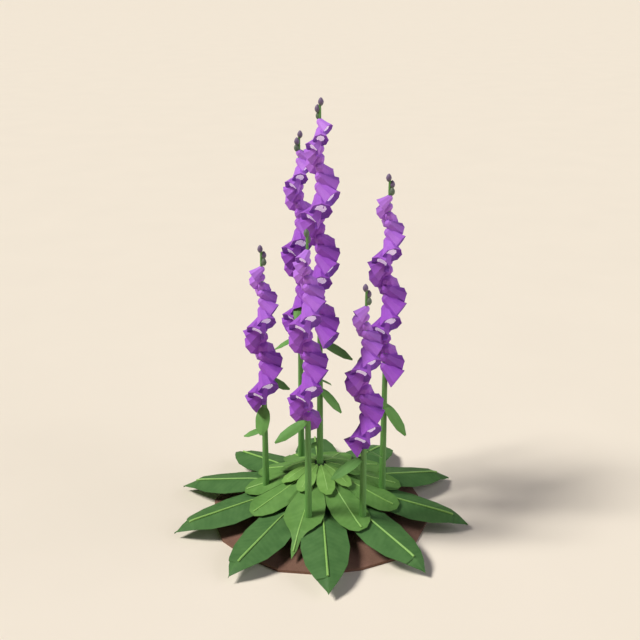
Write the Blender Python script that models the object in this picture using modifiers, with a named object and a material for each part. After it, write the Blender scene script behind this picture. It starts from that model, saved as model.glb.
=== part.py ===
"""A flowering foxglove plant: six spires of drooping bells over a rosette of leaves in a disc of soil.

Metres, +Z up. The origin is the middle of the soil's flat underside, and the front of the plant
faces -Y. A bearing is an angle in degrees about Z, measured from -Y towards +X.
"""
import math

import bmesh
import bpy
from mathutils import Vector

# Soil: a low mound with a thin rim, standing on its flat underside
SOIL_RADIUS = 0.262
SOIL_RIM_HEIGHT = 0.007
SOIL_SIDES = 18
SOIL_WOBBLE = 0.006
SOIL_RINGS = ((0.80, 0.019), (0.50, 0.032), (0.24, 0.040))
SOIL_HOLE_FLOOR = 0.006

# Crown: the short stock that the rosette's leaves grow from
CROWN_FOOT_Z = 0.012
CROWN_TOP_Z = 0.137
CROWN_FOOT_RADIUS = 0.032
CROWN_TOP_RADIUS = 0.0135
CROWN_SIDES = 20
CROWN_SOCKET_HEIGHT = 0.06

# Flower stems
STEM_FOOT_RADIUS = 0.0093
STEM_TIP_RADIUS = 0.0027
STEM_SIDES = 8
STEM_BORE_RADIUS = 0.0099
STEM_BORE_HEIGHT = 0.2

# Leaves
BLADE_THICKNESS = 0.0016
RIB_HALF_WIDTH = 0.0028
RIB_RISE = 0.0024
FIT = 0.0003
NEIGHBOUR_SHARE = 0.94
UNDER_EDGE = 0.006

OUTER_SHOULDER = 0.18
OUTER_SHOULDER_Z = 0.065
OUTER_SLOPE = -0.19
OUTER_ARCH = -1.02
OUTER_FOLD = 0.327
OUTER_FOLD_SLOPE = -0.52
OUTER_SIDE_SLOPE = -0.20
OUTER_HALF_WIDTH = 0.0555
OUTER_OUTLINE = (
    (0.0, 0.13), (0.21, 0.45), (0.455, 0.82), (0.636, 1.0),
    (0.77, 0.84), (0.87, 0.56), (0.93, 0.34), (1.0, 0.0),
)
OUTER_LEAVES = (
    (3, 0.356), (-34, 0.356), (-71, 0.360), (-106, 0.362), (-139, 0.347),
    (-177.5, 0.367), (149, 0.380), (114, 0.366), (77, 0.360), (40, 0.358),
)

MIDDLE_AXIS_Z = 0.135
MIDDLE_SLOPE = -0.38
MIDDLE_FOLD = 0.185
MIDDLE_FOLD_SLOPE = -0.30
MIDDLE_SIDE_SLOPE = -0.16
MIDDLE_HALF_WIDTH = 0.044
MIDDLE_OUTLINE = (
    (0.0, 0.09), (0.25, 0.46), (0.49, 0.90), (0.66, 1.0),
    (0.82, 0.86), (0.93, 0.55), (1.0, 0.18),
)
MIDDLE_POINTED_OUTLINE = (
    (0.0, 0.09), (0.20, 0.46), (0.39, 0.90), (0.53, 1.0),
    (0.66, 0.84), (0.74, 0.50), (0.80, 0.24), (0.90, 0.18), (1.0, 0.0),
)
MIDDLE_POINTED_LEAF = 0
MIDDLE_POINT_LOW_FROM = 0.192
MIDDLE_LEAVES = (
    (-15, 0.247), (-56, 0.207), (-88, 0.200), (-122, 0.205), (-160, 0.200),
    (165, 0.205), (131, 0.205), (99, 0.200), (67, 0.200), (29, 0.208),
)

INNER_AXIS_Z = 0.138
INNER_RISE = 0.10
INNER_DROOP = -5.2
INNER_SIDE_SLOPE = -0.25
INNER_HALF_WIDTH = 0.0225
INNER_OUTLINE = ((0.0, 0.14), (0.35, 0.62), (0.62, 1.0), (0.85, 0.80), (1.0, 0.30))
INNER_LEAVES = (
    (12, 0.098), (-30, 0.095), (-66, 0.098), (-106, 0.100), (-146, 0.105),
    (174, 0.100), (134, 0.100), (92, 0.098), (50, 0.093),
)
RING_CLEARANCE = 0.0012
LIFT_REACH = 0.018

# Bells: one spiral down each spire
BELL_SIDES = 5
BELLS_PER_TURN = 7
BELL_STEP = 0.0235
BELL_TOP_STEP_SHARE = 0.78
BELL_STEP_GROWTH_BELLS = 10
BELL_DROOP = 40
BELL_LENGTH = 0.041
BELL_BACK = 0.012
BELL_WAIST_AT = 0.003
BELL_WAIST_RADIUS = 0.0115
BELL_MOUTH_RADIUS = 0.0260
BELL_LIP = 0.0012
BELL_HOLLOW_DEPTH = 0.018
BELL_LOWER_LIP = 0.003
BELL_TOP_SIZE = 0.62
BELL_FULL_SIZE_AFTER = 7
BELL_LIP_STEP = 0.0005
CORE_WALL = 0.0016
CORE_BELOW = 0.0072
CORE_ABOVE = 0.0030
CORE_BORE_PAST = 0.03

# Buds at each spire's tip
BUD_LENGTH = 0.0155
BUD_RADIUS = 0.0048
BUD_SPACING = 0.0148
BUD_FAN = (0, 12, -20)
BUD_ASIDE = 0.0042
TOP_BUD_ASIDE = 0.0004
STEM_BELOW_TOP = 0.0093

# Stem leaves
STEM_LEAF_SUNK = 0.4
STEM_LEAF_ARCH = 0.02
STEM_LEAF_RIDGE = 0.20
STEM_LEAF_OUTLINE = ((0.0, 0.35), (0.22, 0.85), (0.5, 1.0), (0.76, 0.72), (1.0, 0.0))

# Each spire: name, place, height, first bell's height and bearing, number of bells, buds, and its
# leaves as (height, bearing, length, half width, droop, roll)
SPIRES = (
    ("1", (0.0, 0.0), 1.000, 0.949, 55, 22, 3, (
        (0.452, 91, 0.086, 0.0115, 32, 12),
        (0.334, 60, 0.074, 0.0125, 42, 15),
        (0.355, 152, 0.060, 0.0110, 32, 0),
    )),
    ("2", (-0.047, 0.112), 0.913, 0.863, 108, 19, 3, (
        (0.422, -92, 0.070, 0.0110, 31, -12),
    )),
    ("3", (0.150, -0.012), 0.841, 0.787, -87, 19, 3, (
        (0.300, 62, 0.088, 0.0135, 52, 35),
    )),
    ("4", (-0.130, -0.010), 0.682, 0.626, -80, 15, 3, (
        (0.295, -12, 0.066, 0.0130, 62, 0),
        (0.232, -105, 0.056, 0.0110, 26, -15),
    )),
    ("5", (-0.0265, -0.142), 0.754, 0.703, -35, 18, 2, (
        (0.316, -66, 0.086, 0.0135, 27, -35),
    )),
    ("6", (0.098, -0.132), 0.632, 0.576, -73, 15, 3, (
        (0.243, 125, 0.060, 0.0120, 36, 0),
        (0.224, -72, 0.086, 0.0135, 30, -25),
    )),
)


def start_empty():
    """Remove whatever the open file holds."""
    for old in list(bpy.data.objects):
        bpy.data.objects.remove(old, do_unlink=True)


def make_collection(name):
    """A new collection in the scene."""
    found = bpy.data.collections.new(name)
    bpy.context.scene.collection.children.link(found)
    return found


def make_material(name, colour, roughness):
    """A Principled material of one colour."""
    material = bpy.data.materials.new(name)
    material.use_nodes = True
    shader = material.node_tree.nodes["Principled BSDF"]
    shader.inputs["Base Color"].default_value = (*colour, 1.0)
    shader.inputs["Roughness"].default_value = roughness
    shader.inputs["Metallic"].default_value = 0.0
    material.diffuse_color = (*colour, 1.0)
    return material


def make_object(name, bm, collection, material=None):
    """Turn a bmesh into an object and free it."""
    mesh = bpy.data.meshes.new(name)
    bm.to_mesh(mesh)
    bm.free()
    made = bpy.data.objects.new(name, mesh)
    collection.objects.link(made)
    if material:
        mesh.materials.append(material)
    return made


def apply_modifiers(target):
    """Replace the object's mesh by its evaluated one and drop the modifiers."""
    depsgraph = bpy.context.evaluated_depsgraph_get()
    depsgraph.update()
    evaluated = bpy.data.meshes.new_from_object(target.evaluated_get(depsgraph))
    target.modifiers.clear()
    target.data = evaluated


def join_solids(target, pieces, collection_name):
    """Boolean union of a list of objects into the target; the list's objects are removed."""
    group = make_collection(collection_name)
    for piece in pieces:
        group.objects.link(piece)
    union = target.modifiers.new("join", "BOOLEAN")
    union.operation = "UNION"
    union.operand_type = "COLLECTION"
    union.collection = group
    union.solver = "EXACT"
    apply_modifiers(target)
    for piece in list(group.objects):
        bpy.data.objects.remove(piece, do_unlink=True)
    bpy.data.collections.remove(group)


def cut(target, cutter):
    """Leave a Boolean difference by one cutter on the target."""
    hole = target.modifiers.new("cut_" + cutter.name, "BOOLEAN")
    hole.operation = "DIFFERENCE"
    hole.object = cutter
    hole.solver = "EXACT"


def mark_cutter(cutter):
    """Show a cutter as wire only, and keep it out of renders."""
    cutter.display_type = "WIRE"
    cutter.hide_render = True


def heading(bearing):
    """Unit vector along a bearing, level with the ground."""
    angle = math.radians(bearing)
    return Vector((math.sin(angle), -math.cos(angle), 0.0))


def blend_outline(outline, share):
    """Half width at a share of the leaf's length, straight between the outline's points."""
    for (start, low), (end, high) in zip(outline, outline[1:]):
        if share <= end:
            return low + (high - low) * (share - start) / (end - start)
    return outline[-1][1]


def crown_radius(height):
    """Radius of the crown's cone at a height."""
    share = (height - CROWN_FOOT_Z) / (CROWN_TOP_Z - CROWN_FOOT_Z)
    return CROWN_FOOT_RADIUS + (CROWN_TOP_RADIUS - CROWN_FOOT_RADIUS) * share


def stem_radius(height, top):
    """Radius of a stem at a height."""
    share = max(0.0, min(1.0, height / top))
    return STEM_FOOT_RADIUS + (STEM_TIP_RADIUS - STEM_FOOT_RADIUS) * share


def add_cone(bm, foot, height, low_radius, high_radius, sides):
    """An upright capped cone or cylinder standing on the point foot."""
    made = bmesh.ops.create_cone(
        bm, cap_ends=True, segments=sides, radius1=low_radius, radius2=high_radius, depth=height
    )
    bmesh.ops.translate(bm, verts=made["verts"], vec=Vector(foot) + Vector((0.0, 0.0, height / 2)))


# Rosette leaves


def outer_height(reach):
    """Height of an outer leaf's rib above the ground, by distance from the axis."""
    past = reach - OUTER_SHOULDER
    height = OUTER_SHOULDER_Z + OUTER_SLOPE * past
    if past < 0.0:
        height += OUTER_ARCH * past * past
    return height + OUTER_FOLD_SLOPE * max(0.0, reach - OUTER_FOLD)


def middle_height(reach):
    """Height of a middle leaf's rib."""
    return MIDDLE_AXIS_Z + MIDDLE_SLOPE * reach + MIDDLE_FOLD_SLOPE * max(0.0, reach - MIDDLE_FOLD)


def inner_height(reach):
    """Height of an inner leaf's rib: it rises a little, then droops."""
    return INNER_AXIS_Z + INNER_RISE * reach + INNER_DROOP * reach * reach


class Ring:
    """One ring of rosette leaves: its leaves, outline, heights and what it lies over."""

    def __init__(self, leaves, outline, half_width, height, side_slope, below, pointed=None):
        self.leaves = leaves
        self.outline = outline
        self.pointed = pointed
        self.half_width = half_width
        self.height = height
        self.side_slope = side_slope
        self.below = below

    def outline_of(self, index):
        """A leaf's outline: one of the middle leaves ends in a point, the others are blunt."""
        return MIDDLE_POINTED_OUTLINE if index == self.pointed else self.outline

    def foot(self):
        """Distance from the axis at which the petiole meets the crown."""
        reach = 0.02
        for _ in range(6):
            fall = max(0.0, (self.height(reach) - self.height(reach + FIT)) / FIT)
            reach = crown_radius(self.height(reach) - BLADE_THICKNESS) + FIT + fall * BLADE_THICKNESS
        return reach

    def room(self, index):
        """Half the angle to the nearer neighbour in the ring."""
        bearing = self.leaves[index][0]
        others = [b for n, (b, _) in enumerate(self.leaves) if n != index]
        gaps = [abs((other - bearing + 180) % 360 - 180) for other in others]
        return math.radians(min(gaps) / 2)

    def width_at(self, index, reach):
        """Half width of a leaf at a distance from the axis, kept clear of its neighbours."""
        foot = self.foot()
        share = (reach - foot) / (self.leaves[index][1] - foot)
        wanted = self.half_width * blend_outline(self.outline_of(index), share)
        return min(wanted, reach * math.tan(self.room(index)) * NEIGHBOUR_SHARE)

    def top_under(self, point):
        """Height of this ring's upper surface at a place, or None off its leaves."""
        highest = None
        for index, (bearing, tip) in enumerate(self.leaves):
            ahead = heading(bearing)
            reach = point.dot(ahead)
            aside = abs(point.x * -ahead.y + point.y * ahead.x)
            if not self.foot() < reach < tip:
                continue
            if aside > self.width_at(index, reach) + UNDER_EDGE:
                continue
            top = self.surface(index, reach, aside, point)
            if highest is None or top > highest:
                highest = top
        return highest

    def surface(self, index, reach, aside, point):
        """Height of the leaf's upper side, lifted clear of the ring below.

        The pointed leaf's end lies between two lower leaves, so it isn't lifted.
        """
        own = self.height(reach) + self.side_slope * aside
        own += RIB_RISE * max(0.0, 1.0 - aside / RIB_HALF_WIDTH)
        reaches_between = index == self.pointed and reach > MIDDLE_POINT_LOW_FROM
        if self.below and not reaches_between:
            for turn in range(0, 360, 45):
                for away in (0.0, LIFT_REACH / 2, LIFT_REACH):
                    under = self.below.top_under(point + heading(turn) * away)
                    if under is not None:
                        own = max(own, under + BLADE_THICKNESS + RING_CLEARANCE)
        return own


def leaf_rows(ring, index):
    """Distances from the axis of a leaf's cross rows."""
    foot = ring.foot()
    tip = ring.leaves[index][1]
    return [foot + (tip - foot) * share for share, _ in ring.outline_of(index)]


def rosette_leaf(name, ring, index, columns, material, collection):
    """One rosette leaf: a ridged sheet over its outline, thickened downwards."""
    bearing = ring.leaves[index][0]
    ahead = heading(bearing)
    across = Vector((-ahead.y, ahead.x, 0.0))
    bm = bmesh.new()
    rows = []
    for reach in leaf_rows(ring, index):
        half = ring.width_at(index, reach)
        if half < 0.001:
            offsets = [0.0]
        else:
            rib = min(RIB_HALF_WIDTH, 0.5 * half)
            sides = [rib + (half - rib) * share for share in columns]
            offsets = [-s for s in reversed(sides)] + [0.0] + sides
        row = []
        for offset in offsets:
            place = ahead * reach + across * offset
            place.z = ring.surface(index, reach, abs(offset), place)
            row.append(bm.verts.new(place))
        rows.append(row)
    for near, far in zip(rows, rows[1:]):
        if len(far) == 1:
            for first, second in zip(near, near[1:]):
                bm.faces.new((first, far[0], second))
        else:
            for k in range(len(near) - 1):
                split_quad(bm, near[k], near[k + 1], far[k + 1], far[k], k < len(near) // 2)
    bmesh.ops.recalc_face_normals(bm, faces=bm.faces)
    if sum(face.normal.z for face in bm.faces) < 0.0:
        bmesh.ops.reverse_faces(bm, faces=bm.faces)
    leaf = make_object(name, bm, collection, material)
    sheet = leaf.modifiers.new("thickness", "SOLIDIFY")
    sheet.thickness = BLADE_THICKNESS
    sheet.offset = -1.0
    return leaf


def split_quad(bm, a, b, c, d, left_half):
    """Two triangles for one cell, with the diagonals mirrored about the rib."""
    if left_half:
        bm.faces.new((a, b, c))
        bm.faces.new((a, c, d))
    else:
        bm.faces.new((a, b, d))
        bm.faces.new((b, c, d))


def stem_passes(ring, index, place):
    """Whether a stem at this place meets the leaf."""
    bearing, tip = ring.leaves[index]
    ahead = heading(bearing)
    spot = Vector((place[0], place[1], 0.0))
    reach = spot.dot(ahead)
    aside = abs(spot.x * -ahead.y + spot.y * ahead.x)
    if not ring.foot() < reach < tip + STEM_BORE_RADIUS:
        return False
    return aside < ring.width_at(index, min(reach, tip)) + STEM_BORE_RADIUS


def build_ring(ring, prefix, columns, material, collection, bores):
    """All leaves of a ring, each opened where a flower stem comes up through it."""
    for index in range(len(ring.leaves)):
        leaf = rosette_leaf(f"{prefix}_{index + 1}", ring, index, columns, material, collection)
        for place, bore in bores:
            if stem_passes(ring, index, place):
                cut(leaf, bore)


# Soil and crown


def build_soil(material, collection, cutters, bores):
    """A low faceted mound on a flat underside, with plain holes for the crown and the stems."""
    bm = bmesh.new()
    rings = [(1.0, 0.0), (1.0, SOIL_RIM_HEIGHT), *SOIL_RINGS]
    loops = []
    for share, height in rings:
        loop = []
        for k in range(SOIL_SIDES):
            wobble = SOIL_WOBBLE * share * math.sin(2.3 * k) * math.cos(1.1 * k + 0.7)
            place = heading(360.0 * k / SOIL_SIDES) * (SOIL_RADIUS * share + wobble)
            place.z = height
            loop.append(bm.verts.new(place))
        loops.append(loop)
    for low, high in zip(loops, loops[1:]):
        for k in range(SOIL_SIDES):
            after = (k + 1) % SOIL_SIDES
            bm.faces.new((low[k], low[after], high[after], high[k]))
    bm.faces.new(list(reversed(loops[0])))
    bm.faces.new(loops[-1])
    bmesh.ops.recalc_face_normals(bm, faces=bm.faces)
    soil = make_object("soil", bm, collection, material)

    bm = bmesh.new()
    add_cone(bm, (0.0, 0.0, CROWN_FOOT_Z - FIT), CROWN_SOCKET_HEIGHT, CROWN_FOOT_RADIUS + FIT,
             CROWN_FOOT_RADIUS + FIT, CROWN_SIDES)
    socket = make_object("crown_socket", bm, cutters)
    mark_cutter(socket)
    cut(soil, socket)
    for place, bore in bores:
        if place != (0.0, 0.0):
            cut(soil, bore)
    return soil


def build_crown(material, collection, centre_bore):
    """The tapering stock in the middle, bored for the central stem."""
    bm = bmesh.new()
    add_cone(bm, (0.0, 0.0, CROWN_FOOT_Z), CROWN_TOP_Z - CROWN_FOOT_Z,
             CROWN_FOOT_RADIUS, CROWN_TOP_RADIUS, CROWN_SIDES)
    crown = make_object("crown", bm, collection, material)
    cut(crown, centre_bore)


def stem_bore(name, place, floor, cutters):
    """Cutter for the plain hole that a stem stands in."""
    bm = bmesh.new()
    add_cone(bm, (place[0], place[1], floor), STEM_BORE_HEIGHT, STEM_BORE_RADIUS, STEM_BORE_RADIUS,
             STEM_SIDES)
    bore = make_object(name, bm, cutters)
    mark_cutter(bore)
    return bore


# Stems with their leaves and buds


def stem_leaf(place, top, leaf):
    """A small blade sunk into the stem at its foot and drooping outwards."""
    height, bearing, length, half_width, droop, roll = leaf
    ahead = heading(bearing)
    across = Vector((-ahead.y, ahead.x, 0.0))
    down = math.radians(droop)
    along = ahead * math.cos(down) - Vector((0.0, 0.0, math.sin(down)))
    face = across.cross(along)
    turn = math.radians(roll)
    across = across * math.cos(turn) - face * math.sin(turn)
    foot = Vector((place[0], place[1], height)) + ahead * (STEM_LEAF_SUNK * stem_radius(height, top))
    bm = bmesh.new()
    rows = []
    for share, width in STEM_LEAF_OUTLINE:
        middle = foot + along * (share * length)
        middle.z += STEM_LEAF_ARCH * length * math.sin(math.pi * share)
        if width == 0.0:
            rows.append([bm.verts.new(middle)])
            continue
        edge_drop = Vector((0.0, 0.0, -STEM_LEAF_RIDGE * half_width * width))
        left = middle - across * (half_width * width) + edge_drop
        right = middle + across * (half_width * width) + edge_drop
        rows.append([bm.verts.new(left), bm.verts.new(middle), bm.verts.new(right)])
    for near, far in zip(rows, rows[1:]):
        if len(far) == 1:
            bm.faces.new((near[0], far[0], near[1]))
            bm.faces.new((near[1], far[0], near[2]))
        else:
            split_quad(bm, near[0], near[1], far[1], far[0], True)
            split_quad(bm, near[1], near[2], far[2], far[1], False)
    bmesh.ops.recalc_face_normals(bm, faces=bm.faces)
    if sum(face.normal.z for face in bm.faces) < 0.0:
        bmesh.ops.reverse_faces(bm, faces=bm.faces)
    blade = make_object("stem_leaf", bm, bpy.context.scene.collection)
    sheet = blade.modifiers.new("thickness", "SOLIDIFY")
    sheet.thickness = BLADE_THICKNESS
    sheet.offset = -1.0
    apply_modifiers(blade)
    return blade


def bud(place, top, bearing, number):
    """One egg-shaped bud, sunk into the side of the stem's tip."""
    bm = bmesh.new()
    bmesh.ops.create_uvsphere(bm, u_segments=6, v_segments=4, radius=1.0)
    bmesh.ops.scale(bm, verts=bm.verts, vec=(BUD_RADIUS, BUD_RADIUS, BUD_LENGTH / 2))
    height = top - BUD_LENGTH / 2 - number * BUD_SPACING
    aside = TOP_BUD_ASIDE if number == 0 else BUD_ASIDE
    centre = Vector((place[0], place[1], height)) + heading(bearing + BUD_FAN[number]) * aside
    bmesh.ops.translate(bm, verts=bm.verts, vec=centre)
    return make_object("bud", bm, bpy.context.scene.collection)


def build_stem(spire, material, collection):
    """A tapering stem with its leaves and buds grown on it."""
    name, place, top, _, first_bearing, _, buds, leaves = spire
    floor = (CROWN_FOOT_Z if place == (0.0, 0.0) else SOIL_HOLE_FLOOR) + FIT
    end = top - STEM_BELOW_TOP
    bm = bmesh.new()
    add_cone(bm, (place[0], place[1], floor), end - floor,
             stem_radius(floor, top), stem_radius(end, top), STEM_SIDES)
    stem = make_object(f"stem_{name}", bm, collection, material)
    pieces = [stem_leaf(place, top, leaf) for leaf in leaves]
    pieces += [bud(place, top, first_bearing + 180, number) for number in range(buds)]
    join_solids(stem, pieces, "stem_pieces")
    return stem


# Flower heads


def bell_plan(spire):
    """Height, bearing and size of each bell, from the top of the spiral down."""
    _, _, _, first, bearing, count, _, _ = spire
    height = first
    for number in range(count):
        growth = min(1.0, number / BELL_FULL_SIZE_AFTER)
        size = BELL_TOP_SIZE + (1.0 - BELL_TOP_SIZE) * growth
        yield height, bearing - number * 360.0 / BELLS_PER_TURN, size
        share = min(1.0, number / BELL_STEP_GROWTH_BELLS)
        height -= BELL_STEP * (BELL_TOP_STEP_SHARE + (1.0 - BELL_TOP_STEP_SHARE) * share)


def bell_ring(bm, foot, axis, side, up, along, radius, size, lip=0.0):
    """One ring of a bell's points about its axis; lip pushes the lower points outwards."""
    ring = []
    for k in range(BELL_SIDES):
        angle = 2 * math.pi * (k + 0.5) / BELL_SIDES
        push = along - lip * math.sin(angle)
        place = foot + axis * (push * size)
        place += (side * math.cos(angle) + up * math.sin(angle)) * (radius * size)
        ring.append(bm.verts.new(place))
    return ring


def bridge(bm, first, second):
    """Faces between two rings of equal count."""
    for k in range(len(first)):
        after = (k + 1) % len(first)
        bm.faces.new((first[k], first[after], second[after], second[k]))


def fan(bm, ring, tip):
    """Triangles from a ring to one point."""
    for k in range(len(ring)):
        bm.faces.new((ring[k], tip, ring[(k + 1) % len(ring)]))


def bell(place, height, bearing, size):
    """One hollow bell, its blunt back on the stem's axis and its mouth outwards and down."""
    level = heading(bearing)
    side = Vector((-level.y, level.x, 0.0))
    down = math.radians(BELL_DROOP)
    axis = level * math.cos(down) - Vector((0.0, 0.0, math.sin(down)))
    up = axis.cross(side)
    if up.z < 0.0:
        up.negate()
    foot = Vector((place[0], place[1], height))
    bm = bmesh.new()
    back = bm.verts.new(foot - axis * (BELL_BACK * size))
    waist = bell_ring(bm, foot, axis, side, up, BELL_WAIST_AT, BELL_WAIST_RADIUS, size)
    rim = bell_ring(bm, foot, axis, side, up, BELL_LENGTH, BELL_MOUTH_RADIUS, size, BELL_LOWER_LIP)
    lip = bell_ring(bm, foot, axis, side, up, BELL_LENGTH + BELL_LIP_STEP,
                    BELL_MOUTH_RADIUS - BELL_LIP, size, BELL_LOWER_LIP)
    throat = bm.verts.new(foot + axis * ((BELL_LENGTH - BELL_HOLLOW_DEPTH) * size))
    fan(bm, waist, back)
    bridge(bm, waist, rim)
    bridge(bm, rim, lip)
    fan(bm, lip, throat)
    bmesh.ops.recalc_face_normals(bm, faces=bm.faces)
    return make_object("bell", bm, bpy.context.scene.collection)


def build_head(spire, material, collection, cutters):
    """All bells of one spire, joined round a slim core with a plain bore for the stem."""
    name, place, top, first, _, _, _, _ = spire
    bells = list(bell_plan(spire))
    low = bells[-1][0] - CORE_BELOW
    high = first + CORE_ABOVE
    bm = bmesh.new()
    add_cone(bm, (place[0], place[1], low), high - low,
             stem_radius(low, top) + CORE_WALL, stem_radius(high, top) + CORE_WALL, STEM_SIDES)
    head = make_object(f"flower_head_{name}", bm, collection, material)
    pieces = [bell(place, *plan) for plan in bells]
    join_solids(head, pieces, "bells")

    bm = bmesh.new()
    start = low - CORE_BORE_PAST
    end = high + CORE_BORE_PAST
    add_cone(bm, (place[0], place[1], start), end - start,
             stem_radius(start, top) + FIT, stem_radius(end, top) + FIT, STEM_SIDES)
    bore = make_object(f"stem_bore_in_head_{name}", bm, cutters)
    mark_cutter(bore)
    cut(head, bore)
    return head


def build_plant():
    """The whole plant."""
    start_empty()
    plant = make_collection("foxglove")
    cutters = make_collection("cutters")

    soil_brown = make_material("soil", (0.130, 0.066, 0.042), 0.95)
    crown_green = make_material("crown", (0.130, 0.230, 0.060), 0.70)
    outer_green = make_material("outer_leaf", (0.070, 0.170, 0.050), 0.60)
    middle_green = make_material("middle_leaf", (0.130, 0.300, 0.070), 0.60)
    inner_green = make_material("inner_leaf", (0.220, 0.400, 0.090), 0.60)
    stem_green = make_material("stem", (0.090, 0.210, 0.045), 0.60)
    bell_purple = make_material("bell", (0.360, 0.085, 0.560), 0.55)

    bores = []
    for spire in SPIRES:
        place = spire[1]
        floor = CROWN_FOOT_Z if place == (0.0, 0.0) else SOIL_HOLE_FLOOR
        start = floor - (0.01 if place == (0.0, 0.0) else 0.0)
        bores.append((place, stem_bore(f"stem_hole_{spire[0]}", place, start, cutters)))

    build_soil(soil_brown, plant, cutters, bores)
    build_crown(crown_green, plant, bores[0][1])

    outer = Ring(OUTER_LEAVES, OUTER_OUTLINE, OUTER_HALF_WIDTH, outer_height, OUTER_SIDE_SLOPE, None)
    middle = Ring(MIDDLE_LEAVES, MIDDLE_OUTLINE, MIDDLE_HALF_WIDTH, middle_height,
                  MIDDLE_SIDE_SLOPE, outer, MIDDLE_POINTED_LEAF)
    inner = Ring(INNER_LEAVES, INNER_OUTLINE, INNER_HALF_WIDTH, inner_height,
                 INNER_SIDE_SLOPE, middle)
    build_ring(outer, "outer_leaf", (0.0, 1.0), outer_green, plant, bores)
    build_ring(middle, "middle_leaf", (0.0, 0.45, 1.0), middle_green, plant, bores)
    build_ring(inner, "inner_leaf", (0.0, 1.0), inner_green, plant, bores)

    for spire in SPIRES:
        build_stem(spire, stem_green, plant)
        build_head(spire, bell_purple, plant, cutters)


build_plant()
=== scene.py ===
"""Looks of the foxglove plant: finer bells, buds, stems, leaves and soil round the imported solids.

Metres, +Z up, in the solids' own frame. A bearing is an angle in degrees about Z, from -Y towards +X.
"""

import math
import random

import bmesh
import bpy
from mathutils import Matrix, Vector, noise
from mathutils.bvhtree import BVHTree


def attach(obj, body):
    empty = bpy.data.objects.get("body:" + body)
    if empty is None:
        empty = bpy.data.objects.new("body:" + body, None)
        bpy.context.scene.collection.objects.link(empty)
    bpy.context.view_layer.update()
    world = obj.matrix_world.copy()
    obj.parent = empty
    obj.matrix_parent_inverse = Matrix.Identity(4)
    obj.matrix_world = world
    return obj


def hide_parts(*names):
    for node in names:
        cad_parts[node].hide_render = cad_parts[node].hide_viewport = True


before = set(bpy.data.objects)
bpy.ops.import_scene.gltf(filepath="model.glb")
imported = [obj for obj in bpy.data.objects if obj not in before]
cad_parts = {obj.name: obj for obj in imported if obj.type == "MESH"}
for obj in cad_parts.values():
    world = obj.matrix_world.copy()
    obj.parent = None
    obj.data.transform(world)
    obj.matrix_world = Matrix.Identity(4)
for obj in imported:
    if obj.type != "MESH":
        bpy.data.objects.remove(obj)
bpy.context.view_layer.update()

# Camera, fitted to the stems' feet and tips, the leaf tips and the soil's edge
CAMERA_TILT = 20.25
CAMERA_DISTANCE = 2.184
CAMERA_AIM_Z = 0.5019
CAMERA_WIDTH = 36.87

# Light; here a bearing is the way that the rays travel, counted from +Y towards +X
SUN_BEARING = 78.5
SUN_HEIGHT = 49
SUN_STRENGTH = 3.55
SUN_SOFTNESS = 17
SUN_COLOUR = (1.0, 1.0, 1.0)
FILL_BEARING = -78
FILL_HEIGHT = 20
FILL_STRENGTH = 1.5
FILL_SOFTNESS = 60
FILL_COLOUR = (0.84, 0.85, 1.0)
SKY_COLOUR = (0.90, 0.94, 1.0)
SKY_STRENGTH = 0.05
FLOOR_COLOUR = (0.868, 0.772, 0.628)
FLOOR_DIM = 0.985
FLOOR_SIZE = 200

# Colours of each surface from dark to light; a leaf's third is its veins', a bud's three run to its tip
YOUNG_PETAL = ((0.510, 0.190, 0.750), (0.590, 0.235, 0.830))
GROWN_PETAL = ((0.322, 0.076, 0.506), (0.378, 0.096, 0.578))
PETAL_SHADE = ((0.88, 0.88, 0.88), (1.0, 1.0, 1.0))
# Inside of the lip: darker than the petal, painted shade for the recess of the mouth
PETAL_INSIDE_SHADE = ((0.205, 0.050, 0.420), (0.260, 0.070, 0.500))
THROAT = ((0.74, 0.56, 0.86), (0.95, 0.80, 1.0))
THROAT_SHADE = ((0.93, 0.93, 0.93), (1.0, 1.0, 1.0))
# The throat's painted glow: emission colour and strength
THROAT_PAINTED_GLOW = (0.84, 0.72, 1.0)
THROAT_PAINTED_GLOW_STRENGTH = 0.22
STALK_GREEN = ((0.094, 0.250, 0.048), (0.130, 0.320, 0.068))
STEM_LEAF_GREEN = ((0.115, 0.275, 0.060), (0.150, 0.335, 0.080), (0.24, 0.46, 0.12))
BUD_PURPLE = ((0.12, 0.17, 0.09), (0.170, 0.110, 0.200), (0.205, 0.140, 0.240))
BUD_GREEN = ((0.10, 0.20, 0.06), (0.120, 0.175, 0.100), (0.150, 0.170, 0.120))
BUD_SHADE = ((0.82, 0.82, 0.82), (1.0, 1.0, 1.0))
MIDRIB_GREEN = ((0.230, 0.440, 0.085), (0.300, 0.540, 0.125))
OUTER_GREEN = ((0.058, 0.146, 0.038), (0.084, 0.190, 0.052), (0.16, 0.32, 0.10))
MIDDLE_GREEN = ((0.104, 0.236, 0.048), (0.138, 0.288, 0.063), (0.25, 0.48, 0.14))
INNER_GREEN = ((0.158, 0.326, 0.062), (0.204, 0.394, 0.085), (0.38, 0.60, 0.18))
CROWN_GREEN = ((0.016, 0.030, 0.012), (0.034, 0.058, 0.022))
CROWN_ROUGHNESS = 0.6
SOIL_BROWN = ((0.205, 0.103, 0.066), (0.258, 0.134, 0.086))
SOIL_SPECK = ((0.72, 0.70, 0.70), (1.0, 1.0, 1.0))

# Places in a piece's list of materials: bells, stems and rosette leaves
PETAL_PLACE = 0
INSIDE_PLACE = 1
THROAT_PLACE = 2
STALK_PLACE = 0
STEM_LEAF_PLACE = 1
BUD_PLACE = 2
GREEN_BUD_PLACE = 3
SHEET_PLACE = 0
RIB_PLACE = 1

# Meshes: welded within this distance, and sharp above these angles
WELD = 1e-6
BELL_SHARP = 20
STEM_SHARP = 40
LEAF_SHARP = 30
SOIL_SHARP = 12
TUBE_POINT = 0.5

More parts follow.
